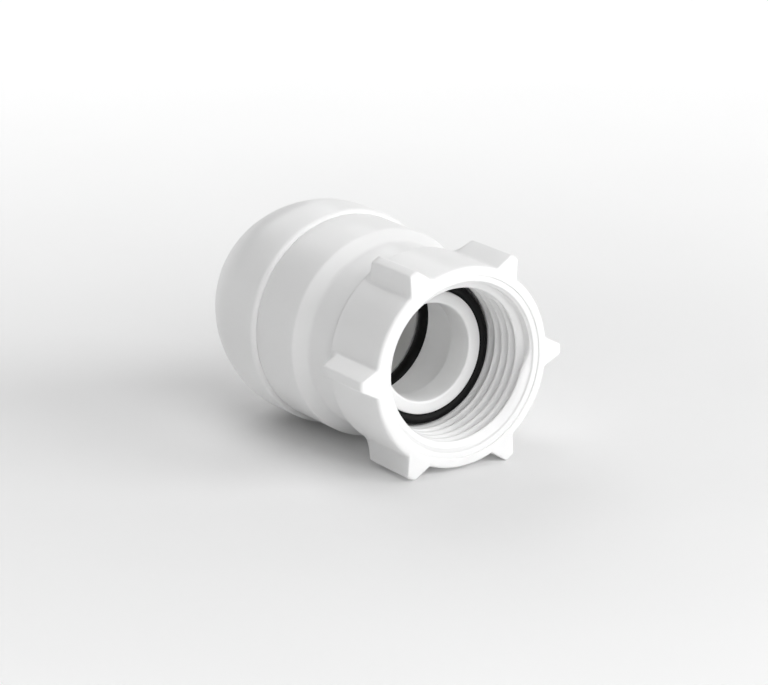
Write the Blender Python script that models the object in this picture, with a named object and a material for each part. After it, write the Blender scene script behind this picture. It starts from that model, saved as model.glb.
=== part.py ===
"""Union fitting: 22 mm push-fit pipe socket to a G 3/4 swivel nut, as separate solids.

Every round piece is turned about the Y axis. A "station" is the distance in mm behind the nut's
mouth, and an outline is a list of (station, radius) points. The mouth faces -Y and the pipe
enters from +Y. The origin is the middle of the whole fitting, on its axis.
"""

import math

import bmesh
import bpy

MM = 0.001
SEGMENTS = 40
WIRE_SEGMENTS = 10
CLEARANCE = 0.3
PAST = 1.0  # how far a cutter runs past the face it cuts

# Pipe socket, for a pipe of 22 mm.
SOCKET_RADIUS = 11.15
PIPE_STOP = 14.4
SEAL_SEAT = 25.35
SEAL_SEAT_RADIUS = 13.7
SEAL_STATION = 27.1
SEAL_WIRE = 2.8
SEAL_INNER_RADIUS = 10.8
BODY_REAR = 37.2

# Spigot.
BORE_RADIUS = 7.9
SPIGOT_FACE = 9.4
SPIGOT_RADIUS = 10.0
SPIGOT_EDGE = 0.25
FLANGE_FRONT = 11.2
FLANGE_RADIUS = 11.5
FLANGE_REAR = 11.4
SPIGOT_NECK_RADIUS = 10.55
SPIGOT_SEAL_STATION = 10.2
SPIGOT_SEAL_WIRE = 1.75

# Outside of the body.
NECK_FRONT = 13.2
NECK_RADIUS = 15.1
NECK_EDGE = 0.5
NECK_REAR = 19.6
BAND_FRONT = 22.6
BAND_RADIUS = 17.0
SNAP_STATION = 35.0
SNAP_HEIGHT = 0.6
SLEEVE_RADIUS = 15.6

# Domed cap.
CAP_FRONT = 32.4
CAP_RADIUS = 17.8
CAP_NOSE_RADIUS = 12.9
CAP_NOSE_LENGTH = 1.5
CAP_CHAMBER_RADIUS = 13.2
CAP_CHAMBER_REAR = 47.0
CAP_ENTRY_RADIUS = 12.5
DOME_FRONT = 38.7
DOME_DEPTH = 20.1
DOME_POWER = 1.76
DOME_STEPS = 7
CAP_REAR = 50.2
CAP_REAR_EDGE = 0.3

# Grab ring, between a backing ring and a thrust ring.
RING_RADIUS = 13.4
BACKING_FRONT = 28.8
BACKING_BORE_RADIUS = 11.4
BACKING_MOUTH_RADIUS = 12.75
BACKING_MOUTH_DEPTH = 1.4
GRAB_FRONT = 33.8
GRAB_SHEET = 0.5
GRAB_SEGMENTS = 48
TEETH = 16
TOOTH_GAP = 0.4
TOOTH_TIP_RADIUS = 10.85
TOOTH_ROOT_RADIUS = 12.4
TOOTH_LEAN = 1.1
THRUST_BORE_RADIUS = 12.5

# Release collar.
COLLAR_TRAVEL = 1.8
COLLAR_BORE_RADIUS = 11.25
COLLAR_RADIUS = 12.15
COLLAR_BEAD_RADIUS = 12.85
COLLAR_BEAD_LENGTH = 1.5
COLLAR_EDGE = 0.4
COLLAR_REACH = 1.0  # how far it stands out of the cap at rest
COLLAR_SLOTS = 4
COLLAR_SLOT_WIDTH = 1.6
COLLAR_SLOT_REAR = 48.8

# Union nut.
NUT_LENGTH = 12.9
NUT_RADIUS = 16.05
NUT_EDGE = 0.5
MOUTH_EDGE_RADIUS = 13.8
MOUTH_RADIUS = 13.5
LUGS = 6
LUG_RADIUS = 18.9
LUG_REAR = 10.7
LUG_FOOT_REAR = 12.5
# Half of a lug's outline: degrees from its middle, and the share of its height there.
LUG_HALF = ((2.2, 1.0), (8.0, 0.12), (11.0, 0.0), (18.0, 0.0), (26.0, 0.0))
NUT_LIP_RADIUS = 11.0

# G 3/4 pipe thread (ISO 228) inside the nut.
THREAD_MAJOR_RADIUS = 13.22
THREAD_MINOR_RADIUS = 12.06
THREAD_PITCH = 1.814
THREAD_TURNS = 4
THREAD_FRONT = 0.9
THREAD_START = 18  # the segment, from +X, where the thread starts
THREAD_REAR = 11.25
THREAD_FADE = 0.35  # turns over which the ridge rises and the groove dies out
# Corners of one pitch, as shares of it: the first two are in the groove, the others on the ridge.
THREAD_CORNERS = (0.0, 0.14, 0.5, 0.64)
GROOVE_CORNERS = 2

GRAB_REAR = GRAB_FRONT + GRAB_SHEET
THRUST_FRONT = GRAB_REAR + CLEARANCE
COLLAR_FRONT = THRUST_FRONT + COLLAR_TRAVEL
COLLAR_REAR = CAP_REAR + COLLAR_REACH
MIDDLE = COLLAR_REAR / 2
# A 45-degree cone joins the thread to the nut's lip, and draws the flange forward as the nut tightens.
NUT_LIP_FRONT = THREAD_REAR + THREAD_MINOR_RADIUS - NUT_LIP_RADIUS


def clear_scene():
    for old in list(bpy.data.objects):
        bpy.data.objects.remove(old, do_unlink=True)


def finish_of(name, colour, roughness, metallic=0.0):
    """A Principled BSDF material."""
    made = bpy.data.materials.new(name)
    made.use_nodes = True
    shader = made.node_tree.nodes["Principled BSDF"]
    shader.inputs["Base Color"].default_value = (*colour, 1.0)
    shader.inputs["Roughness"].default_value = roughness
    shader.inputs["Metallic"].default_value = metallic
    return made


def place(station, radius, angle):
    """A point in metres, at an angle from +X, right-handed about +Y."""
    return (
        radius * math.cos(angle) * MM,
        (station - MIDDLE) * MM,
        -radius * math.sin(angle) * MM,
    )


def to_object(name, mesh, material=None):
    """Makes an object of a bmesh, with its faces outward and its round sides smooth."""
    bmesh.ops.recalc_face_normals(mesh, faces=mesh.faces)
    data = bpy.data.meshes.new(name)
    mesh.to_mesh(data)
    mesh.free()
    if material:
        data.materials.append(material)
    data.shade_smooth()
    data.set_sharp_from_angle(angle=math.radians(25))
    made = bpy.data.objects.new(name, data)
    bpy.context.scene.collection.objects.link(made)
    return made


def turned(name, outline, material, segments=SEGMENTS):
    """A ring: a closed outline turned about the axis."""
    mesh = bmesh.new()
    verts = [mesh.verts.new(place(station, radius, 0.0)) for station, radius in outline]
    edges = [mesh.edges.new((verts[i - 1], verts[i])) for i in range(len(verts))]
    bmesh.ops.spin(
        mesh,
        geom=verts + edges,
        cent=(0, 0, 0),
        axis=(0, 1, 0),
        angle=math.tau,
        steps=segments,
        use_merge=True,
    )
    return to_object(name, mesh, material)


def arc(station, radius, size, start, end, steps):
    """Points on an arc of an outline. Its angles, in degrees, run from rearward to outward."""
    angles = [math.radians(start + (end - start) * i / steps) for i in range(steps + 1)]
    return [(station + size * math.cos(a), radius + size * math.sin(a)) for a in angles]


def subtract(target, cutter):
    cutter.hide_render = True
    cutter.display_type = "WIRE"
    cut = target.modifiers.new(cutter.name, "BOOLEAN")
    cut.operation = "DIFFERENCE"
    cut.solver = "EXACT"
    cut.object = cutter


def radial_slots(name, count, width, inner, outer, front, rear):
    """A cutter: boxes spread evenly round the axis, from one radius and station to another."""
    mesh = bmesh.new()
    for i in range(count):
        angle = math.tau * (i + 0.5) / count
        across = (math.sin(angle) * width / 2 * MM, 0.0, math.cos(angle) * width / 2 * MM)
        corners = []
        for radius, station in ((inner, front), (inner, rear), (outer, front), (outer, rear)):
            at = place(station, radius, angle)
            for side in (-1, 1):
                corners.append(mesh.verts.new([a + side * b for a, b in zip(at, across)]))
        bmesh.ops.convex_hull(mesh, input=corners)
    return to_object(name, mesh)


def o_ring(name, station, inner_radius, wire, material):
    outline = arc(station, inner_radius + wire / 2, wire / 2, 0, 360, WIRE_SEGMENTS)
    return turned(name, outline[:-1], material)


def make_body(material):
    """Spigot, nut flange, neck, shoulder and band outside; bore, socket and seal seat inside."""
    flange_foot = FLANGE_REAR + FLANGE_RADIUS - SPIGOT_NECK_RADIUS
    rise = BAND_RADIUS - NECK_RADIUS
    run = BAND_FRONT - NECK_REAR
    band_rear = CAP_FRONT - CLEARANCE
    outline = [
        (SPIGOT_FACE, BORE_RADIUS),
        (SPIGOT_FACE, SPIGOT_RADIUS - SPIGOT_EDGE),
        (SPIGOT_FACE + SPIGOT_EDGE, SPIGOT_RADIUS - CLEARANCE / 2),
        (FLANGE_FRONT, SPIGOT_RADIUS - CLEARANCE / 2),
        (FLANGE_FRONT, FLANGE_RADIUS),
        (FLANGE_REAR, FLANGE_RADIUS),
        (flange_foot, SPIGOT_NECK_RADIUS),
        (NECK_FRONT, SPIGOT_NECK_RADIUS),
        (NECK_FRONT, NECK_RADIUS - NECK_EDGE),
        (NECK_FRONT + NECK_EDGE, NECK_RADIUS),
        (NECK_REAR, NECK_RADIUS),
        (NECK_REAR + run / 4, NECK_RADIUS + rise / 8),
        (NECK_REAR + run * 3 / 4, NECK_RADIUS + rise * 7 / 8),
        (BAND_FRONT, BAND_RADIUS),
        (band_rear, BAND_RADIUS),
        (band_rear, SLEEVE_RADIUS),
        (SNAP_STATION, SLEEVE_RADIUS),
        (SNAP_STATION, SLEEVE_RADIUS + SNAP_HEIGHT),
        (SNAP_STATION + 2 * SNAP_HEIGHT, SLEEVE_RADIUS),
        (BODY_REAR, SLEEVE_RADIUS),
        (BODY_REAR, SEAL_SEAT_RADIUS),
        (SEAL_SEAT, SEAL_SEAT_RADIUS),
        (SEAL_SEAT, SOCKET_RADIUS),
        (PIPE_STOP, SOCKET_RADIUS),
        (PIPE_STOP, BORE_RADIUS),
    ]
    return turned("fitting_body", outline, material)


def dome_radius(station):
    """Outer radius of the cap: a cylinder whose rear closes as a superellipse."""
    share = max(0.0, (station - DOME_FRONT) / DOME_DEPTH)
    return CAP_RADIUS * (1 - share**DOME_POWER) ** (1 / DOME_POWER)


def make_cap(material):
    """Domed cap, snapped over the rear of the body, that holds the rings and the collar in."""
    edge = CAP_RADIUS - BAND_RADIUS
    bore = SLEEVE_RADIUS + CLEARANCE
    shoulder = BODY_REAR + CLEARANCE
    groove = SNAP_STATION - CLEARANCE
    groove_rear = SNAP_STATION + 2 * SNAP_HEIGHT + CLEARANCE
    dome_rear = CAP_REAR - CAP_REAR_EDGE
    dome_step = (dome_rear - DOME_FRONT) / DOME_STEPS
    dome = [DOME_FRONT + dome_step * i for i in range(DOME_STEPS + 1)]
    outline = [(CAP_FRONT, bore)]
    outline += arc(CAP_FRONT + edge, BAND_RADIUS, edge, 180, 90, 3)
    outline += [(station, dome_radius(station)) for station in dome]
    outline += [
        (CAP_REAR, dome_radius(dome_rear) - CAP_REAR_EDGE),
        (CAP_REAR, CAP_ENTRY_RADIUS),
        (CAP_CHAMBER_REAR, CAP_ENTRY_RADIUS),
        (CAP_CHAMBER_REAR, CAP_CHAMBER_RADIUS),
        (shoulder + CAP_NOSE_LENGTH, CAP_CHAMBER_RADIUS),
        (shoulder + CAP_NOSE_LENGTH, CAP_NOSE_RADIUS),
        (shoulder, CAP_NOSE_RADIUS),
        (shoulder, bore),
        (groove_rear, bore),
        (groove_rear - SNAP_HEIGHT, bore + SNAP_HEIGHT),
        (groove, bore + SNAP_HEIGHT),
        (groove, bore),
    ]
    return turned("retaining_cap", outline, material)


def make_backing_ring(material):
    """Ring that closes the seal's seat, with a conical mouth for the leaning teeth."""
    rear = GRAB_FRONT - CLEARANCE
    outline = [
        (BACKING_FRONT, BACKING_BORE_RADIUS),
        (BACKING_FRONT, RING_RADIUS),
        (rear, RING_RADIUS),
        (rear, BACKING_MOUTH_RADIUS),
        (rear - BACKING_MOUTH_DEPTH, BACKING_BORE_RADIUS),
    ]
    return turned("backing_ring", outline, material)


def make_grab_ring(material):
    """Sheet ring whose teeth lean towards the pipe stop, so that the pipe goes in but not out."""
    outline = [
        (GRAB_FRONT, RING_RADIUS),
        (GRAB_REAR, RING_RADIUS),
        (GRAB_REAR, TOOTH_ROOT_RADIUS),
        (GRAB_REAR - TOOTH_LEAN, TOOTH_TIP_RADIUS),
        (GRAB_FRONT - TOOTH_LEAN, TOOTH_TIP_RADIUS),
        (GRAB_FRONT, TOOTH_ROOT_RADIUS),
    ]
    ring = turned("grab_ring", outline, material, GRAB_SEGMENTS)
    slots = radial_slots(
        "grab_ring_slots",
        TEETH,
        TOOTH_GAP,
        TOOTH_TIP_RADIUS - PAST,
        TOOTH_ROOT_RADIUS + TOOTH_GAP,
        GRAB_FRONT - TOOTH_LEAN - PAST,
        GRAB_REAR + PAST,
    )
    subtract(ring, slots)
    return ring


def make_thrust_ring(material):
    """Ring through which the cap clamps the grab ring."""
    outline = [
        (THRUST_FRONT, THRUST_BORE_RADIUS),
        (THRUST_FRONT, RING_RADIUS),
        (BODY_REAR, RING_RADIUS),
        (BODY_REAR, THRUST_BORE_RADIUS),
    ]
    return turned("thrust_ring", outline, material)


def make_collar(material):
    """Release collar: a slotted sleeve whose snap bead keeps it in the cap."""
    bead_rear = CAP_CHAMBER_REAR - CLEARANCE
    bead_front = bead_rear - COLLAR_BEAD_LENGTH
    bead_rise = COLLAR_BEAD_RADIUS - COLLAR_RADIUS
    outline = [
        (COLLAR_FRONT, COLLAR_BORE_RADIUS),
        (COLLAR_FRONT, COLLAR_RADIUS - COLLAR_EDGE),
        (COLLAR_FRONT + COLLAR_EDGE, COLLAR_RADIUS),
        (bead_front, COLLAR_RADIUS),
        (bead_front + bead_rise, COLLAR_BEAD_RADIUS),
        (bead_rear, COLLAR_BEAD_RADIUS),
        (bead_rear, COLLAR_RADIUS),
        (COLLAR_REAR - COLLAR_EDGE, COLLAR_RADIUS),
        (COLLAR_REAR, COLLAR_RADIUS - COLLAR_EDGE),
        (COLLAR_REAR, COLLAR_BORE_RADIUS),
    ]
    collar = turned("release_collar", outline, material)
    slots = radial_slots(
        "release_collar_slots",
        COLLAR_SLOTS,
        COLLAR_SLOT_WIDTH,
        COLLAR_BORE_RADIUS - PAST,
        COLLAR_BEAD_RADIUS + PAST,
        COLLAR_FRONT - PAST,
        COLLAR_SLOT_REAR,
    )
    subtract(collar, slots)
    return collar


def lug_columns():
    """(angle, share of the lugs' height) round the nut's outline."""
    columns = []
    for lug in range(LUGS):
        middle = 360 * lug / LUGS
        columns += [(middle - degrees, share) for degrees, share in reversed(LUG_HALF)]
        columns += [(middle + degrees, share) for degrees, share in LUG_HALF]
    return [(math.radians(degrees), share) for degrees, share in columns]


def nut_blank(material):
    """The nut without its bore: a round bar with six lugs whose rear ends slope down."""
    rows = (
        (0.0, 1.0, NUT_EDGE),
        (NUT_EDGE, 1.0, 0.0),
        (LUG_REAR, 1.0, 0.0),
        (LUG_FOOT_REAR, 0.0, 0.0),
        (NUT_LENGTH, 0.0, NUT_LENGTH - LUG_FOOT_REAR),
    )
    mesh = bmesh.new()
    rings = []
    for station, height, inset in rows:
        ring = []
        for angle, share in lug_columns():
            radius = NUT_RADIUS - inset + (LUG_RADIUS - NUT_RADIUS) * share * height
            ring.append(mesh.verts.new(place(station, radius, angle)))
        rings.append(ring)
    for front, rear in zip(rings, rings[1:]):
        for i in range(len(front)):
            mesh.faces.new((front[i - 1], front[i], rear[i], rear[i - 1]))
    mesh.faces.new(rings[0])
    mesh.faces.new(rings[-1])
    return to_object("union_nut", mesh, material)


def thread_radius(turn, corner):
    """Radius of a corner of the thread, some turns along it. Ridge and groove fade at their ends."""
    if corner < GROOVE_CORNERS:
        depth = min(1.0, max(0.0, (THREAD_TURNS - turn) / THREAD_FADE))
    else:
        depth = 1.0 - min(1.0, turn / THREAD_FADE)
    return THREAD_MINOR_RADIUS + (THREAD_MAJOR_RADIUS - THREAD_MINOR_RADIUS) * depth


def thread_columns(mesh):
    """The thread's points, one list for each angle. The first column holds one more pitch."""
    per_turn = len(THREAD_CORNERS)
    columns = []
    for i in range(SEGMENTS):
        column = []
        last = per_turn * (THREAD_TURNS + (i == 0))
        for row in range(last + 1):
            whole, corner = divmod(row, per_turn)
            station = THREAD_FRONT + THREAD_PITCH * (whole + THREAD_CORNERS[corner] + i / SEGMENTS)
            radius = thread_radius(whole + i / SEGMENTS, corner)
            angle = math.tau * (i + THREAD_START) / SEGMENTS
            column.append(mesh.verts.new(place(station, radius, angle)))
        columns.append(column)
    return columns


def bore_ring(mesh, station, radius):
    angles = [math.tau * (i + THREAD_START) / SEGMENTS for i in range(SEGMENTS)]
    return [mesh.verts.new(place(station, radius, angle)) for angle in angles]


def threaded_plug():
    """A cutter of the shape of the nut's bore: mouth, thread, and the lip behind the flange."""
    per_turn = len(THREAD_CORNERS)
    mesh = bmesh.new()
    front_edge = MOUTH_EDGE_RADIUS - MOUTH_RADIUS
    front = [
        bore_ring(mesh, -PAST, MOUTH_EDGE_RADIUS + PAST),
        bore_ring(mesh, front_edge, MOUTH_RADIUS),
        bore_ring(mesh, THREAD_FRONT - CLEARANCE, THREAD_MAJOR_RADIUS),
    ]
    rear = [
        bore_ring(mesh, THREAD_REAR, THREAD_MINOR_RADIUS),
        bore_ring(mesh, NUT_LIP_FRONT, NUT_LIP_RADIUS),
        bore_ring(mesh, NUT_LENGTH + PAST, NUT_LIP_RADIUS),
    ]
    for rings in (front, rear):
        for one, other in zip(rings, rings[1:]):
            for i in range(SEGMENTS):
                mesh.faces.new((one[i - 1], one[i], other[i], other[i - 1]))
    mesh.faces.new(front[0])
    mesh.faces.new(rear[-1])
    columns = thread_columns(mesh)
    for i in range(SEGMENTS):
        here = columns[i]
        beside = columns[i + 1] if i + 1 < SEGMENTS else columns[0][per_turn:]
        for row in range(per_turn * THREAD_TURNS):
            mesh.faces.new((here[row], beside[row], beside[row + 1], here[row + 1]))
        after = (i + 1) % SEGMENTS
        # Where the thread closes on itself, its first column lies along the edge of these faces.
        start = columns[0][: per_turn + 1] if after == 0 else [beside[0]]
        mesh.faces.new([front[-1][i], front[-1][after], *start, here[0]])
        end = here[per_turn * THREAD_TURNS :]
        mesh.faces.new([*end, rear[0][i], rear[0][after], beside[per_turn * THREAD_TURNS]])
    return to_object("nut_bore", mesh)


def make_nut(material):
    nut = nut_blank(material)
    subtract(nut, threaded_plug())
    return nut


def main():
    clear_scene()
    white = finish_of("white_plastic", (0.86, 0.86, 0.85), 0.28)
    ring_white = finish_of("natural_acetal", (0.78, 0.78, 0.76), 0.4)
    collar_white = finish_of("white_acetal", (0.8, 0.8, 0.79), 0.36)
    rubber = finish_of("black_rubber", (0.012, 0.012, 0.012), 0.55)
    steel = finish_of("stainless_steel", (0.62, 0.61, 0.6), 0.3, 1.0)
    make_body(white)
    make_cap(white)
    make_nut(white)
    make_collar(collar_white)
    o_ring("pipe_o_ring", SEAL_STATION, SEAL_INNER_RADIUS, SEAL_WIRE, rubber)
    o_ring("spigot_o_ring", SPIGOT_SEAL_STATION, SPIGOT_RADIUS, SPIGOT_SEAL_WIRE, rubber)
    make_backing_ring(ring_white)
    make_grab_ring(steel)
    make_thrust_ring(ring_white)


main()
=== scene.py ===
"""Looks of the union fitting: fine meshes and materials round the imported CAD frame.

Every round piece is turned about the Y axis. A "station" is the distance in mm behind the nut's
mouth, and a radius is in mm too. The mouth faces -Y and the pipe enters from +Y.
"""

import math

import bpy
import numpy as np
from mathutils import Matrix, Vector


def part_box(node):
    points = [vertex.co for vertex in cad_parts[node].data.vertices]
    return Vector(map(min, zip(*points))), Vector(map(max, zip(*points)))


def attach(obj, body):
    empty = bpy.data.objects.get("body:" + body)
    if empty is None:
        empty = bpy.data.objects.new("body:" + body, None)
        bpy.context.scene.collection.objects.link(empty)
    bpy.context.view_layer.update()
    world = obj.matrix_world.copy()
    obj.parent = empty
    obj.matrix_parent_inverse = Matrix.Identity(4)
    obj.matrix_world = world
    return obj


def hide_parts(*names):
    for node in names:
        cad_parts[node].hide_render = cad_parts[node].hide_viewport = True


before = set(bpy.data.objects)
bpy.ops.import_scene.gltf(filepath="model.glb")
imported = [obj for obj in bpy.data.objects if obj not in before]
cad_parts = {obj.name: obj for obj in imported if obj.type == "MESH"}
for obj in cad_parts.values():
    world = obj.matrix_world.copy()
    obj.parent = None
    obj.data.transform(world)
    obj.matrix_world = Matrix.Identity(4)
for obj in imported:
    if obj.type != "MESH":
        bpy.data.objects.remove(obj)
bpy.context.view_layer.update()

MM = 0.001
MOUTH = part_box("union_nut")[0].y


def span(node):
    """(front station, rear station, outer radius) of a CAD node."""
    low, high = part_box(node)
    return (low.y - MOUTH) / MM, (high.y - MOUTH) / MM, high.x / MM


BODY_FRONT, BODY_REAR, BAND_RADIUS = span("fitting_body")
CAP_FRONT, CAP_REAR, CAP_RADIUS = span("retaining_cap")
_, NUT_LENGTH, LUG_RADIUS = span("union_nut")
COLLAR_FRONT, COLLAR_REAR, COLLAR_BEAD_RADIUS = span("release_collar")
SEAL_FRONT, SEAL_REAR, _ = span("pipe_o_ring")
SPIGOT_SEAL_FRONT, SPIGOT_SEAL_REAR, _ = span("spigot_o_ring")
BACKING_FRONT, BACKING_REAR, RING_RADIUS = span("backing_ring")
THRUST_FRONT, THRUST_REAR, _ = span("thrust_ring")
GRAB_FRONT, GRAB_REAR, _ = span("grab_ring")

SEGMENTS = 192
SEAM = 0.03  # gap left at a joint that looks closed
CUT_MARGIN = 1  # how far a cutter runs past what it cuts

# Body.
BORE_RADIUS = 7.9
SPIGOT_SEAL_RADIUS = 10.0
FLANGE_FRONT = 11.2
FLANGE_RADIUS = 11.5
FLANGE_REAR = 11.4
SPIGOT_NECK_RADIUS = 10.55
NECK_FRONT = NUT_LENGTH + 0.3
NECK_RADIUS = 15.1
SHOULDER_FRONT = 19.95
SHOULDER_REAR = 22.05
SHOULDER_FOOT_ROUNDING = 1.5
SHOULDER_EDGE_ROUNDING = 0.9
SLEEVE_RADIUS = 15.6
SNAP_STATION = 35.0
SNAP_HEIGHT = 0.6
SNAP_CLEARANCE = 0.3
SOCKET_RADIUS = 11.15
PIPE_STOP = 14.4
SEAL_SEAT = 25.35
SEAL_SEAT_RADIUS = 13.7
SEAL_RADIUS = 10.8

# Cap.
CAP_BORE_RADIUS = 15.9
CAP_SHOULDER = BODY_REAR + 0.3
CAP_NOSE_REAR = CAP_SHOULDER + 1.5
CAP_NOSE_RADIUS = 12.9
CAP_CHAMBER_RADIUS = 13.2
CAP_CHAMBER_REAR = 47.0
CAP_ENTRY_RADIUS = 12.5
DOME_FRONT = 38.7
DOME_DEPTH = 20.1
DOME_POWER = 1.76
DOME_STEPS = 28

# Rings and collar.
BACKING_BORE_RADIUS = 11.4
BACKING_MOUTH_RADIUS = 12.75
BACKING_MOUTH_DEPTH = 1.4
THRUST_BORE_RADIUS = 12.5
TOOTH_TIP_RADIUS = 10.85
TOOTH_ROOT_RADIUS = 12.4
TOOTH_LEAN = 1.1
TEETH = 16
TOOTH_GAP = 0.4
COLLAR_BORE_RADIUS = 11.25
COLLAR_RADIUS = 12.15
COLLAR_BEAD_LENGTH = 1.5
COLLAR_BEAD_CLEARANCE = 0.3
COLLAR_SLOTS = 4
COLLAR_SLOT_WIDTH = 1.6
COLLAR_SLOT_REAR = 48.8

# Nut.
NUT_RADIUS = 16.05
NUT_EDGE = 0.55
NUT_REAR_EDGE = 0.3
NUT_REAR_RING_RADIUS = 13.5  # a row of points that splits the wide rear face
LUGS = 6
WALL_FACETS = 14  # from one lug to the next
LUG_TURN = math.radians(0.75)
LUG_TIP_HALF = math.radians(2.2)
LUG_FOOT_HALF = math.radians(8.2)
LUG_TIP_ROUNDING = 0.4
LUG_FOOT_ROUNDING = 0.8
LUG_REAR = 10.6
LUG_FOOT_REAR = 12.7
LUG_SLOPE_LEAD = 0.3  # how far before LUG_REAR the lug starts to bend down
LIP_RADIUS = 11.0
LIP_CHAMFER = 0.1
FACE_STEP_RADIUS = 14.55
FACE_STEP = 0.22
FACE_STEP_SPREAD = 0.05
FACE_STEP_TOP = 0.02
MOUTH_EDGE = 0.25
MOUTH_RADIUS = 13.5
MOUTH_REAR = 0.45
THREAD_MAJOR_RADIUS = 13.22
THREAD_MINOR_RADIUS = 12.06
THREAD_PITCH = 1.814
THREAD_START = 1.05
THREAD_START_ANGLE = math.radians(-9)
THREAD_REAR = 11.25
THREAD_TURNS = 4.95
THREAD_FADE = 0.3
THREAD_RISE = 0.075  # turns over which the ridge rises to its height
THREAD_ENTRY = 0.3  # length over which the mouth narrows to the thread
THREAD_ROWS = 120


# Mesh building.


def place(station, radius, angle):
    """A point in metres, at an angle from +X, right-handed about +Y."""
    return (
        radius * math.cos(angle) * MM,
        MOUTH + station * MM,
        -radius * math.sin(angle) * MM,
    )


def rounded(corners, steps=5):
    """The points of a closed outline of (station, radius, rounding) corners, with their arcs."""
    points = []
    for i, (station, radius, size) in enumerate(corners):
        here = Vector((station, radius))
        if not size:
            points.append(here)
            continue
        to_last = (Vector(corners[i - 1][:2]) - here).normalized()
        to_next = (Vector(corners[(i + 1) % len(corners)][:2]) - here).normalized()
        half = to_last.angle(to_next) / 2
        centre = here + (to_last + to_next).normalized() * size / math.sin(half)
        start = here + to_last * size / math.tan(half) - centre
        end = here + to_next * size / math.tan(half) - centre
        turn = start.angle(end)
        for k in range(steps + 1):
            share = k / steps
            arm = start * math.sin((1 - share) * turn) + end * math.sin(share * turn)
            points.append(centre + arm / math.sin(turn))
    return points


def add_object(name, data):
    """An object of its own in the scene."""
    made = bpy.data.objects.new(name, data)
    bpy.context.scene.collection.objects.link(made)
    return made


def mesh_object(name, verts, faces, sharp=40):
    """A smooth-shaded object, with its faces turned outward."""
    data = bpy.data.meshes.new(name)
    data.from_pydata(verts, [], faces)
    data.update()
    corners = np.array([[data.vertices[v].co for v in f.vertices[:3]] for f in data.polygons])
    volume = np.einsum("ij,ij->i", corners[:, 0], np.cross(corners[:, 1], corners[:, 2])).sum()
    if volume < 0:
        data.flip_normals()
    data.shade_smooth()
    data.set_sharp_from_angle(angle=math.radians(sharp))
    return add_object(name, data)


def grid_faces(rows, columns):
    """Quads of a grid of points that closes on itself both ways, numbered row by row."""
    faces = []
    for row in range(rows):
        below = (row + 1) % rows
        for i in range(columns):
            beside = (i + 1) % columns
            corners = (row, i), (row, beside), (below, beside), (below, i)
            faces.append([r * columns + c for r, c in corners])
    return faces


def turned(name, corners, segments=SEGMENTS):
    """A ring: a closed outline turned about the axis."""
    points = rounded(corners)
    angles = [math.tau * i / segments for i in range(segments)]
    verts = [place(station, radius, angle) for station, radius in points for angle in angles]
    return mesh_object(name, verts, grid_faces(len(points), segments))


def radial_boxes(count, width, inner, outer, front, rear):
    """A cutter: boxes spread evenly round the axis, from one radius and station to another."""
    verts, faces = [], []
    for i in range(count):
        angle = math.tau * (i + 0.5) / count
        across = Vector((math.sin(angle), 0, math.cos(angle))) * width / 2 * MM
        first = len(verts)
        for station in (front, rear):
            for radius, side in ((inner, -1), (outer, -1), (outer, 1), (inner, 1)):
                verts.append(Vector(place(station, radius, angle)) + across * side)
        quads = (0, 1, 2, 3), (7, 6, 5, 4), (0, 4, 5, 1), (1, 5, 6, 2), (2, 6, 7, 3), (3, 7, 4, 0)
        faces += [[first + v for v in quad] for quad in quads]
    return mesh_object("cutter", verts, faces)


def cut(target, cutter):
    """Takes the cutter's shape out of the target for good."""
    boolean = target.modifiers.new("cut", "BOOLEAN")
    boolean.object = cutter
    bpy.context.view_layer.update()
    evaluated = target.evaluated_get(bpy.context.evaluated_depsgraph_get())
    target.data = bpy.data.meshes.new_from_object(evaluated)
    target.modifiers.clear()
    target.data.shade_smooth()
    target.data.set_sharp_from_angle(angle=math.radians(30))
    bpy.data.objects.remove(cutter)


# Pieces.


def make_body():
    band_rear = CAP_FRONT - SEAM
    spigot_radius = SPIGOT_SEAL_RADIUS - SEAM
    flange_foot = FLANGE_REAR + FLANGE_RADIUS - SPIGOT_NECK_RADIUS
    return turned("body_shell", [
        (BODY_FRONT, BORE_RADIUS, 0.35),
        (BODY_FRONT, spigot_radius, 0.2),
        (FLANGE_FRONT, spigot_radius, 0.2),
        (FLANGE_FRONT, FLANGE_RADIUS, 0.08),
        (FLANGE_REAR, FLANGE_RADIUS, 0.08),
        (flange_foot, SPIGOT_NECK_RADIUS, 0.2),
        (NECK_FRONT, SPIGOT_NECK_RADIUS, 0.15),
        (NECK_FRONT, NECK_RADIUS, 0.4),
        (SHOULDER_FRONT, NECK_RADIUS, SHOULDER_FOOT_ROUNDING),
        (SHOULDER_REAR, BAND_RADIUS, SHOULDER_EDGE_ROUNDING),
        (band_rear, BAND_RADIUS, 0.05),
        (band_rear, SLEEVE_RADIUS, 0.1),
        (SNAP_STATION, SLEEVE_RADIUS, 0.1),
        (SNAP_STATION, SLEEVE_RADIUS + SNAP_HEIGHT, 0.1),
        (SNAP_STATION + 2 * SNAP_HEIGHT, SLEEVE_RADIUS, 0.1),
        (BODY_REAR, SLEEVE_RADIUS, 0.2),
        (BODY_REAR, SEAL_SEAT_RADIUS, 0.2),
        (SEAL_SEAT, SEAL_SEAT_RADIUS, 0.3),
        (SEAL_SEAT, SOCKET_RADIUS, 0.2),
        (PIPE_STOP, SOCKET_RADIUS, 0.4),
        (PIPE_STOP, BORE_RADIUS, 0.15),
    ])


def dome_radius(station):
    """Outer radius of the cap: a cylinder whose rear closes as a superellipse."""
    share = max(0.0, (station - DOME_FRONT) / DOME_DEPTH)
    return CAP_RADIUS * (1 - share**DOME_POWER) ** (1 / DOME_POWER)


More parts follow.
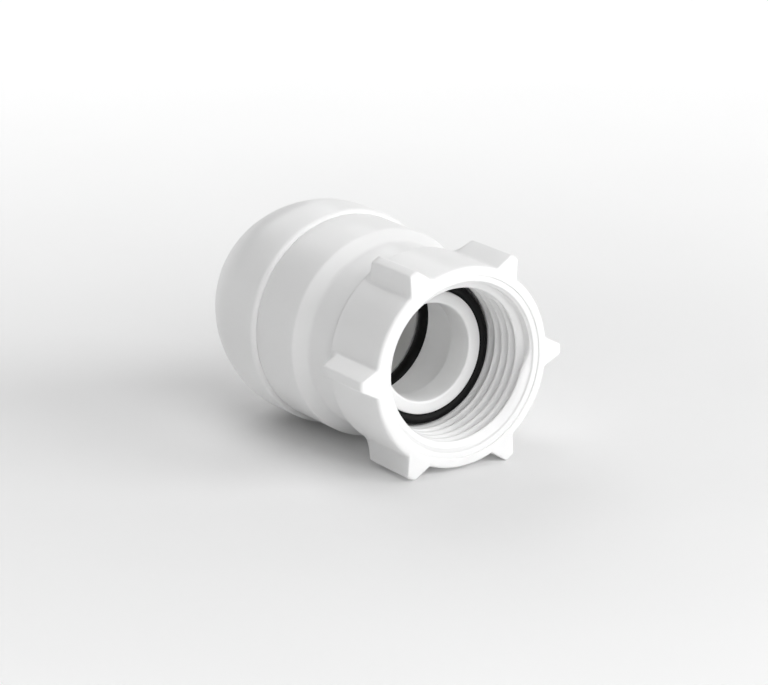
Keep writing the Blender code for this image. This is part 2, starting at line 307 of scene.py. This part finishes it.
def make_cap():
    edge = (CAP_RADIUS - BAND_RADIUS) * 0.999  # a hair under the step down to the band
    groove = SNAP_STATION - SNAP_CLEARANCE
    groove_radius = CAP_BORE_RADIUS + SNAP_HEIGHT
    groove_rear = SNAP_STATION + 2 * SNAP_HEIGHT + SNAP_CLEARANCE
    stations = [DOME_FRONT + (CAP_REAR - DOME_FRONT) * i / DOME_STEPS for i in range(DOME_STEPS)]
    return turned("cap_shell", [
        (CAP_FRONT, CAP_BORE_RADIUS, 0.1),
        (CAP_FRONT, CAP_RADIUS, edge),
        *[(station, dome_radius(station), 0) for station in stations],
        (CAP_REAR, dome_radius(CAP_REAR), 0.45),
        (CAP_REAR, CAP_ENTRY_RADIUS, 0.3),
        (CAP_CHAMBER_REAR, CAP_ENTRY_RADIUS, 0.1),
        (CAP_CHAMBER_REAR, CAP_CHAMBER_RADIUS, 0.1),
        (CAP_NOSE_REAR, CAP_CHAMBER_RADIUS, 0.1),
        (CAP_NOSE_REAR, CAP_NOSE_RADIUS, 0.1),
        (CAP_SHOULDER, CAP_NOSE_RADIUS, 0.2),
        (CAP_SHOULDER, CAP_BORE_RADIUS, 0.2),
        (groove_rear, CAP_BORE_RADIUS, 0.1),
        (groove_rear - SNAP_HEIGHT, groove_radius, 0.1),
        (groove, groove_radius, 0.1),
        (groove, CAP_BORE_RADIUS, 0.1),
    ])


def make_o_ring(name, front, rear, inner_radius, steps=36):
    """A ring of round section."""
    wire = (rear - front) / 2
    corners = []
    for k in range(steps):
        angle = math.tau * (k + 0.5) / steps
        station = front + wire * (1 - math.cos(angle))
        corners.append((station, inner_radius + wire * (1 - math.sin(angle)), 0))
    return turned(name, corners)


def make_backing_ring():
    mouth = BACKING_REAR - BACKING_MOUTH_DEPTH
    return turned("backing_ring_fine", [
        (BACKING_FRONT, BACKING_BORE_RADIUS, 0.2),
        (BACKING_FRONT, RING_RADIUS, 0.15),
        (BACKING_REAR, RING_RADIUS, 0.15),
        (BACKING_REAR, BACKING_MOUTH_RADIUS, 0.05),
        (mouth, BACKING_BORE_RADIUS, 0.3),
    ])


def make_thrust_ring():
    return turned("thrust_ring_fine", [
        (THRUST_FRONT, THRUST_BORE_RADIUS, 0.2),
        (THRUST_FRONT, RING_RADIUS, 0.2),
        (THRUST_REAR, RING_RADIUS, 0.2),
        (THRUST_REAR, THRUST_BORE_RADIUS, 0.2),
    ])


def make_grab_ring():
    sheet = GRAB_REAR - GRAB_FRONT - TOOTH_LEAN
    rim_front = GRAB_REAR - sheet
    ring = turned("grab_ring_fine", [
        (rim_front, RING_RADIUS, 0.08),
        (GRAB_REAR, RING_RADIUS, 0.08),
        (GRAB_REAR, TOOTH_ROOT_RADIUS, 0.6),
        (GRAB_REAR - TOOTH_LEAN, TOOTH_TIP_RADIUS, 0.05),
        (GRAB_FRONT, TOOTH_TIP_RADIUS, 0.05),
        (rim_front, TOOTH_ROOT_RADIUS, 0.6),
    ])
    gaps = radial_boxes(
        TEETH, TOOTH_GAP, TOOTH_TIP_RADIUS - CUT_MARGIN, TOOTH_ROOT_RADIUS + TOOTH_GAP,
        GRAB_FRONT - CUT_MARGIN, GRAB_REAR + CUT_MARGIN,
    )
    cut(ring, gaps)
    return ring


def make_collar():
    bead_rear = CAP_CHAMBER_REAR - COLLAR_BEAD_CLEARANCE
    bead_front = bead_rear - COLLAR_BEAD_LENGTH
    collar = turned("release_collar_fine", [
        (COLLAR_FRONT, COLLAR_BORE_RADIUS, 0.25),
        (COLLAR_FRONT, COLLAR_RADIUS, 0.45),
        (bead_front, COLLAR_RADIUS, 0.2),
        (bead_front + COLLAR_BEAD_RADIUS - COLLAR_RADIUS, COLLAR_BEAD_RADIUS, 0.2),
        (bead_rear, COLLAR_BEAD_RADIUS, 0.15),
        (bead_rear, COLLAR_RADIUS, 0.15),
        (COLLAR_REAR, COLLAR_RADIUS, 0.35),
        (COLLAR_REAR, COLLAR_BORE_RADIUS, 0.45),
    ])
    slots = radial_boxes(
        COLLAR_SLOTS, COLLAR_SLOT_WIDTH, COLLAR_BORE_RADIUS - CUT_MARGIN,
        COLLAR_BEAD_RADIUS + CUT_MARGIN, COLLAR_FRONT - CUT_MARGIN, COLLAR_SLOT_REAR,
    )
    cut(collar, slots)
    return collar


def nut_outline():
    """The nut and its lugs seen along the axis: a closed outline in mm, and its outward normals."""
    corners = []
    for lug in range(LUGS):
        middle = math.tau * lug / LUGS + LUG_TURN
        gap = math.tau / LUGS - 2 * LUG_FOOT_HALF
        turns = [
            (-LUG_FOOT_HALF, NUT_RADIUS, LUG_FOOT_ROUNDING),
            (-LUG_TIP_HALF, LUG_RADIUS, LUG_TIP_ROUNDING),
            (LUG_TIP_HALF, LUG_RADIUS, LUG_TIP_ROUNDING),
            (LUG_FOOT_HALF, NUT_RADIUS, LUG_FOOT_ROUNDING),
        ]
        for k in range(1, WALL_FACETS):
            turns.append((LUG_FOOT_HALF + gap * k / WALL_FACETS, NUT_RADIUS, 0))
        for turn, radius, size in turns:
            angle = middle + turn
            corners.append((radius * math.cos(angle), radius * math.sin(angle), size))
    points = rounded(corners, steps=6)
    normals = []
    for i, point in enumerate(points):
        along = points[(i + 1) % len(points)] - points[i - 1]
        normals.append(Vector((along.y, -along.x)).normalized())
    return points, normals


def smooth(low, high, value):
    """0 below low, 1 above high, and a smooth step between them."""
    share = min(1.0, max(0.0, (value - low) / (high - low)))
    return share * share * (3 - 2 * share)


def thread_height(station, angle):
    """How far the thread stands into the bore. It is right-handed, and fades in and out."""
    turn = (angle - THREAD_START_ANGLE) % math.tau / math.tau
    phase = (station - THREAD_START) / THREAD_PITCH - turn
    ridge = 0.5 + 0.5 * math.cos(math.tau * phase) if phase > -0.5 else 0.0
    crest = ridge * smooth(0, THREAD_RISE, round(phase) + turn)
    groove = 1 - smooth(THREAD_TURNS - THREAD_FADE, THREAD_TURNS, math.floor(phase) + 0.5 + turn)
    return (THREAD_MAJOR_RADIUS - THREAD_MINOR_RADIUS) * (1 - (1 - crest) * groove)


def make_nut():
    """Rows of points from the front face over the outside, round the rear, and back up the bore."""
    points, normals = nut_outline()
    angles = [math.atan2(p.y, p.x) % math.tau for p in points]
    rows = []

    def outside(station, inset, height=1.0):
        row = []
        for point, normal, angle in zip(points, normals, angles):
            radius = (point - normal * inset).length
            lug = radius - NUT_RADIUS + inset
            row.append((station, NUT_RADIUS - inset + lug * height, angle))
        return row

    def ring(station, radius):
        return [(station, radius, angle) for angle in angles]

    rows += [ring(0, FACE_STEP_RADIUS + FACE_STEP_SPREAD), outside(0, NUT_EDGE * 1.3)]
    for k in range(6):
        turn = math.pi / 2 * k / 5
        rows.append(outside(NUT_EDGE * (1 - math.cos(turn)), NUT_EDGE * (1 - math.sin(turn))))
    rows += [outside(station, 0) for station in (3, 6, 9)]
    slope = LUG_FOOT_REAR - LUG_REAR
    for k in range(13):
        share = k / 12
        station = LUG_REAR - LUG_SLOPE_LEAD + (slope + LUG_SLOPE_LEAD) * share
        rows.append(outside(station, 0, 1 - smooth(-0.1, 1.1, share)))
    for k in range(5):
        turn = math.pi / 2 * k / 4
        inset = NUT_REAR_EDGE * (1 - math.cos(turn))
        rows.append(outside(NUT_LENGTH - NUT_REAR_EDGE * (1 - math.sin(turn)), inset, 0))
    rows += [ring(NUT_LENGTH, NUT_REAR_RING_RADIUS), ring(NUT_LENGTH, LIP_RADIUS + LIP_CHAMFER)]
    rows.append(ring(NUT_LENGTH - LIP_CHAMFER, LIP_RADIUS))
    cone = THREAD_MINOR_RADIUS - LIP_RADIUS
    for share in (0.97, 0.5):
        rows.append(ring(THREAD_REAR + cone * share, THREAD_MINOR_RADIUS - cone * share))
    for k in range(THREAD_ROWS + 1):
        station = THREAD_REAR + (MOUTH_REAR - THREAD_REAR) * k / THREAD_ROWS
        entry = smooth(MOUTH_REAR, MOUTH_REAR + THREAD_ENTRY, station)
        bore = MOUTH_RADIUS - (MOUTH_RADIUS - THREAD_MAJOR_RADIUS) * entry
        heights = [thread_height(station, angle) for angle in angles]
        rows.append([(station, bore - h * entry, angle) for h, angle in zip(heights, angles)])
    for k in range(5):
        turn = math.pi / 2 * k / 4
        station = FACE_STEP + MOUTH_EDGE * (1 - math.sin(turn))
        rows.append(ring(station, MOUTH_RADIUS + MOUTH_EDGE * (1 - math.cos(turn))))
    rows.append(ring(FACE_STEP, FACE_STEP_RADIUS - FACE_STEP_SPREAD))
    rows.append(ring(FACE_STEP_TOP, FACE_STEP_RADIUS))
    verts = [place(*vert) for row in rows for vert in row]
    return mesh_object("union_nut_shell", verts, grid_faces(len(rows), len(points)))


# Materials.

WHITE = (0.95, 0.95, 0.948)
WHITE_SHADE = (0.935, 0.936, 0.933)
INSIDE_GLOW = 0.06  # stands for light that comes through the socket's wall


def new_material(name, roughness=0.4, metallic=0.0):
    made = bpy.data.materials.new(name)
    made.use_nodes = True
    tree = made.node_tree
    shader = tree.nodes["Principled BSDF"]
    shader.inputs["Roughness"].default_value = roughness
    shader.inputs["Metallic"].default_value = metallic
    return made, tree, shader


def noise(tree, size_mm, detail=3.0, stretch=None):
    """Noise whose patches are about size_mm across, fixed to the piece."""
    where = tree.nodes.new("ShaderNodeTexCoord").outputs["Object"]
    if stretch:
        mapping = tree.nodes.new("ShaderNodeMapping")
        mapping.inputs["Scale"].default_value = stretch
        tree.links.new(where, mapping.inputs["Vector"])
        where = mapping.outputs["Vector"]
    made = tree.nodes.new("ShaderNodeTexNoise")
    made.inputs["Scale"].default_value = 1 / (size_mm * MM)
    made.inputs["Detail"].default_value = detail
    tree.links.new(where, made.inputs["Vector"])
    return made.outputs["Fac"]


def mapped(tree, value, source, target):
    """A value moved from one (low, high) range to another."""
    made = tree.nodes.new("ShaderNodeMapRange")
    made.inputs["From Min"].default_value, made.inputs["From Max"].default_value = source
    made.inputs["To Min"].default_value, made.inputs["To Max"].default_value = target
    tree.links.new(value, made.inputs["Value"])
    return made.outputs["Result"]


def spread(tree, value, low, high):
    """The middle of a noise spread over a range."""
    return mapped(tree, value, (0.3, 0.7), (low, high))


def arithmetic(tree, operation, first, second):
    """A sum, product or quotient. The second value is a number or an output."""
    made = tree.nodes.new("ShaderNodeMath")
    made.operation = operation
    tree.links.new(first, made.inputs[0])
    if isinstance(second, float):
        made.inputs[1].default_value = second
    else:
        tree.links.new(second, made.inputs[1])
    return made.outputs["Value"]


def mixed(tree, share, first, second):
    """A colour between two, by a share from 0 to 1."""
    made = tree.nodes.new("ShaderNodeMix")
    made.data_type = "RGBA"
    tree.links.new(share, made.inputs["Factor"])
    made.inputs["A"].default_value = (*first, 1)
    made.inputs["B"].default_value = (*second, 1)
    return made.outputs["Result"]


def bump(tree, shader, heights):
    """Bumps from (height, depth in mm) pairs, one on the other."""
    normal = None
    for height, depth in heights:
        made = tree.nodes.new("ShaderNodeBump")
        made.inputs["Distance"].default_value = depth * MM
        tree.links.new(height, made.inputs["Height"])
        if normal:
            tree.links.new(normal, made.inputs["Normal"])
        normal = made.outputs["Normal"]
    tree.links.new(normal, shader.inputs["Normal"])


def plastic(name, colour, shade, roughness):
    """Moulded plastic: faint mottling, patches of more and less shine, and soft sink marks."""
    made, tree, shader = new_material(name)
    broad = noise(tree, 6)
    fine = noise(tree, 1.5, 1)
    tone = mixed(tree, spread(tree, broad, 0, 1), colour, shade)
    shine = spread(tree, fine, roughness - 0.02, roughness + 0.03)
    tree.links.new(tone, shader.inputs["Base Color"])
    tree.links.new(shine, shader.inputs["Roughness"])
    bump(tree, shader, [(broad, 0.03), (fine, 0.001)])
    shader.inputs["Subsurface Weight"].default_value = 0.3
    shader.inputs["Subsurface Radius"].default_value = (1, 1, 1)
    shader.inputs["Subsurface Scale"].default_value = 1.0 * MM
    return made


def rubber():
    made, tree, shader = new_material("black_rubber")
    broad = noise(tree, 2.5)
    fine = noise(tree, 0.12, 2)
    colour = mixed(tree, spread(tree, broad, 0, 1), (0.002, 0.002, 0.002), (0.004, 0.004, 0.004))
    tree.links.new(colour, shader.inputs["Base Color"])
    tree.links.new(spread(tree, fine, 0.5, 0.68), shader.inputs["Roughness"])
    bump(tree, shader, [(broad, 0.01), (fine, 0.006)])
    shader.inputs["Specular IOR Level"].default_value = 0.22
    return made


def steel():
    made, tree, shader = new_material("stainless_sheet", metallic=1.0)
    rolled = noise(tree, 0.3, 3, stretch=(1, 8, 1))
    colour = mixed(tree, spread(tree, rolled, 0, 1), (0.6, 0.59, 0.58), (0.7, 0.69, 0.68))
    tree.links.new(colour, shader.inputs["Base Color"])
    tree.links.new(spread(tree, rolled, 0.22, 0.38), shader.inputs["Roughness"])
    bump(tree, shader, [(rolled, 0.003)])
    return made


def dress(piece, material, slot, body, *nodes):
    """Gives a piece its material and body, and hides the CAD nodes it stands for. The slot argument
    is not used.
    """
    piece.data.materials.clear()
    piece.data.materials.append(material)
    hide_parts(*nodes)
    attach(piece, body)


def make_pieces():
    white = plastic("white_plastic", WHITE, WHITE_SHADE, 0.3)
    acetal = plastic("natural_acetal", (0.8, 0.8, 0.785), (0.77, 0.77, 0.755), 0.4)
    collar_white = plastic("collar_acetal", (0.83, 0.83, 0.82), (0.8, 0.8, 0.79), 0.36)
    black = rubber()
    body = make_body()
    dress(body, white, "white_plastic", "fitting", "fitting_body")
    inner = plastic("white_plastic_inside", WHITE, WHITE_SHADE, 0.4)
    shader = inner.node_tree.nodes["Principled BSDF"]
    shader.inputs["Emission Color"].default_value = (1, 1, 1, 1)
    shader.inputs["Emission Strength"].default_value = INSIDE_GLOW
    body.data.materials.append(inner)
    for face in body.data.polygons:
        at = face.center
        if math.hypot(at.x, at.z) < (SOCKET_RADIUS + 0.1) * MM and at.y > MOUTH + PIPE_STOP * MM:
            face.material_index = 1
    dress(make_cap(), white, "white_plastic", "fitting", "retaining_cap")
    dress(make_nut(), white, "white_plastic", "nut", "union_nut")
    dress(make_collar(), collar_white, "collar_plastic", "collar", "release_collar")
    dress(make_backing_ring(), acetal, "ring_plastic", "fitting", "backing_ring")
    dress(make_thrust_ring(), acetal, "ring_plastic", "fitting", "thrust_ring")
    dress(make_grab_ring(), steel(), "stainless", "fitting", "grab_ring")
    seal = make_o_ring("pipe_seal", SEAL_FRONT, SEAL_REAR, SEAL_RADIUS)
    dress(seal, black, "seal_rubber", "fitting", "pipe_o_ring")
    seal = make_o_ring("spigot_seal", SPIGOT_SEAL_FRONT, SPIGOT_SEAL_REAR, SPIGOT_SEAL_RADIUS)
    dress(seal, black, "seal_rubber", "fitting", "spigot_o_ring")


# Floor, light and camera.

FLOOR_SIZE = 6.0
FLOOR_GLOW = 0.8  # far away, where the floor meets the world's tone
FLOOR_GLOW_REACH = 0.35  # the distance in metres where half of it is reached
WORLD_HEIGHTS = (0.1, 0.25)  # from the horizon's tone to the tone above
WORLD_STRENGTHS = (0.72, 0.03)
LIGHT_DISTANCE = 1.0
LIGHT_SIZE = 0.6
LIGHTS = {  # the direction it shines from, and its watts
    "key": ((0.55, -0.75, 0.4), 4.9),
    "front": ((-0.154, -0.79, 0.59), 3.2),
    "top": ((0, 0, 1), 2.4),
    "rim": ((-0.3, 0.5, 0.8), 1.1),
    "rear": ((0.2, 0.75, 0.6), 1.8),
    "back": ((0.7, 0.7, 0.4), 0.7),
}
VIEW_AZIMUTH = math.radians(-34.3)
VIEW_ELEVATION = math.radians(17.47)
VIEW_DISTANCE = 0.4944  # from the middle of the nut's mouth, along the view
VIEW_RIGHT = -12.12 * MM  # from there to the middle of the picture
VIEW_UP = 3.90 * MM
LENS_MM = 151.6


def make_floor():
    """A floor tilted to meet the cap's front edge and the two lowest lugs of the nut at rest.

    It leaves LUG_TURN out, so one lug's tip is 0.04 mm inside it. A turned nut isn't allowed for.
    """
    lug_foot = LUG_RADIUS * math.sin(math.radians(60) + LUG_TIP_HALF)
    cap_edge = CAP_FRONT + CAP_RADIUS - BAND_RADIUS
    slope = math.atan2(CAP_RADIUS - lug_foot, cap_edge)
    data = bpy.data.meshes.new("floor")
    half = FLOOR_SIZE / 2
    corners = [(-half, -half, 0), (half, -half, 0), (half, half, 0), (-half, half, 0)]
    data.from_pydata(corners, [], [(0, 1, 2, 3)])
    floor = add_object("floor", data)
    contact = Vector((0, MOUTH + cap_edge * MM, -CAP_RADIUS * MM))
    floor.matrix_world = Matrix.Translation(contact) @ Matrix.Rotation(-slope, 4, "X")
    made, tree, shader = new_material("floor_paper", 0.8)
    grain = noise(tree, 40, 4)
    colour = mixed(tree, spread(tree, grain, 0, 1), (0.84, 0.84, 0.84), (0.86, 0.86, 0.86))
    tree.links.new(colour, shader.inputs["Base Color"])
    shader.inputs["Emission Color"].default_value = (1, 1, 1, 1)
    reach = tree.nodes.new("ShaderNodeVectorMath")
    reach.operation = "LENGTH"
    tree.links.new(tree.nodes.new("ShaderNodeTexCoord").outputs["Object"], reach.inputs[0])
    distance = reach.outputs["Value"]
    eased = arithmetic(tree, "ADD", distance, FLOOR_GLOW_REACH)
    share = arithmetic(tree, "DIVIDE", distance, eased)
    glow = arithmetic(tree, "MULTIPLY", share, FLOOR_GLOW)
    tree.links.new(glow, shader.inputs["Emission Strength"])
    data.materials.append(made)


def area_light(name, direction, power):
    """A square light that shines on the fitting from a direction."""
    data = bpy.data.lights.new(name, "AREA")
    data.size = LIGHT_SIZE
    data.energy = power
    light = add_object(name, data)
    at = Vector(direction).normalized() * LIGHT_DISTANCE
    light.matrix_world = Matrix.Translation(at) @ at.to_track_quat("Z", "Y").to_matrix().to_4x4()


def make_lights():
    for name, (direction, power) in LIGHTS.items():
        area_light(name, direction, power)
    world = bpy.data.worlds.new("studio")
    bpy.context.scene.world = world
    world.use_nodes = True
    tree = world.node_tree
    where = tree.nodes.new("ShaderNodeTexCoord").outputs["Generated"]
    split = tree.nodes.new("ShaderNodeSeparateXYZ")
    tree.links.new(where, split.inputs["Vector"])
    haze = mapped(tree, split.outputs["Z"], WORLD_HEIGHTS, WORLD_STRENGTHS)
    background = tree.nodes["Background"]
    background.inputs["Color"].default_value = (1, 1, 1, 1)
    tree.links.new(haze, background.inputs["Strength"])


def make_camera():
    right = Vector((math.cos(VIEW_AZIMUTH), math.sin(VIEW_AZIMUTH), 0))
    level = Vector((math.sin(VIEW_AZIMUTH), -math.cos(VIEW_AZIMUTH), 0))
    back = level * math.cos(VIEW_ELEVATION) + Vector((0, 0, math.sin(VIEW_ELEVATION)))
    up = back.cross(right)
    aim = Vector((0, MOUTH, 0)) + right * VIEW_RIGHT + up * VIEW_UP
    data = bpy.data.cameras.new("camera")
    data.lens = LENS_MM
    data.clip_start = 0.01
    camera = add_object("camera", data)
    turn = Matrix((right, up, back)).transposed().to_4x4()
    camera.matrix_world = Matrix.Translation(aim + back * VIEW_DISTANCE) @ turn
    bpy.context.scene.camera = camera


make_pieces()
make_floor()
make_lights()
make_camera()
bpy.context.scene.view_settings.view_transform = "Standard"
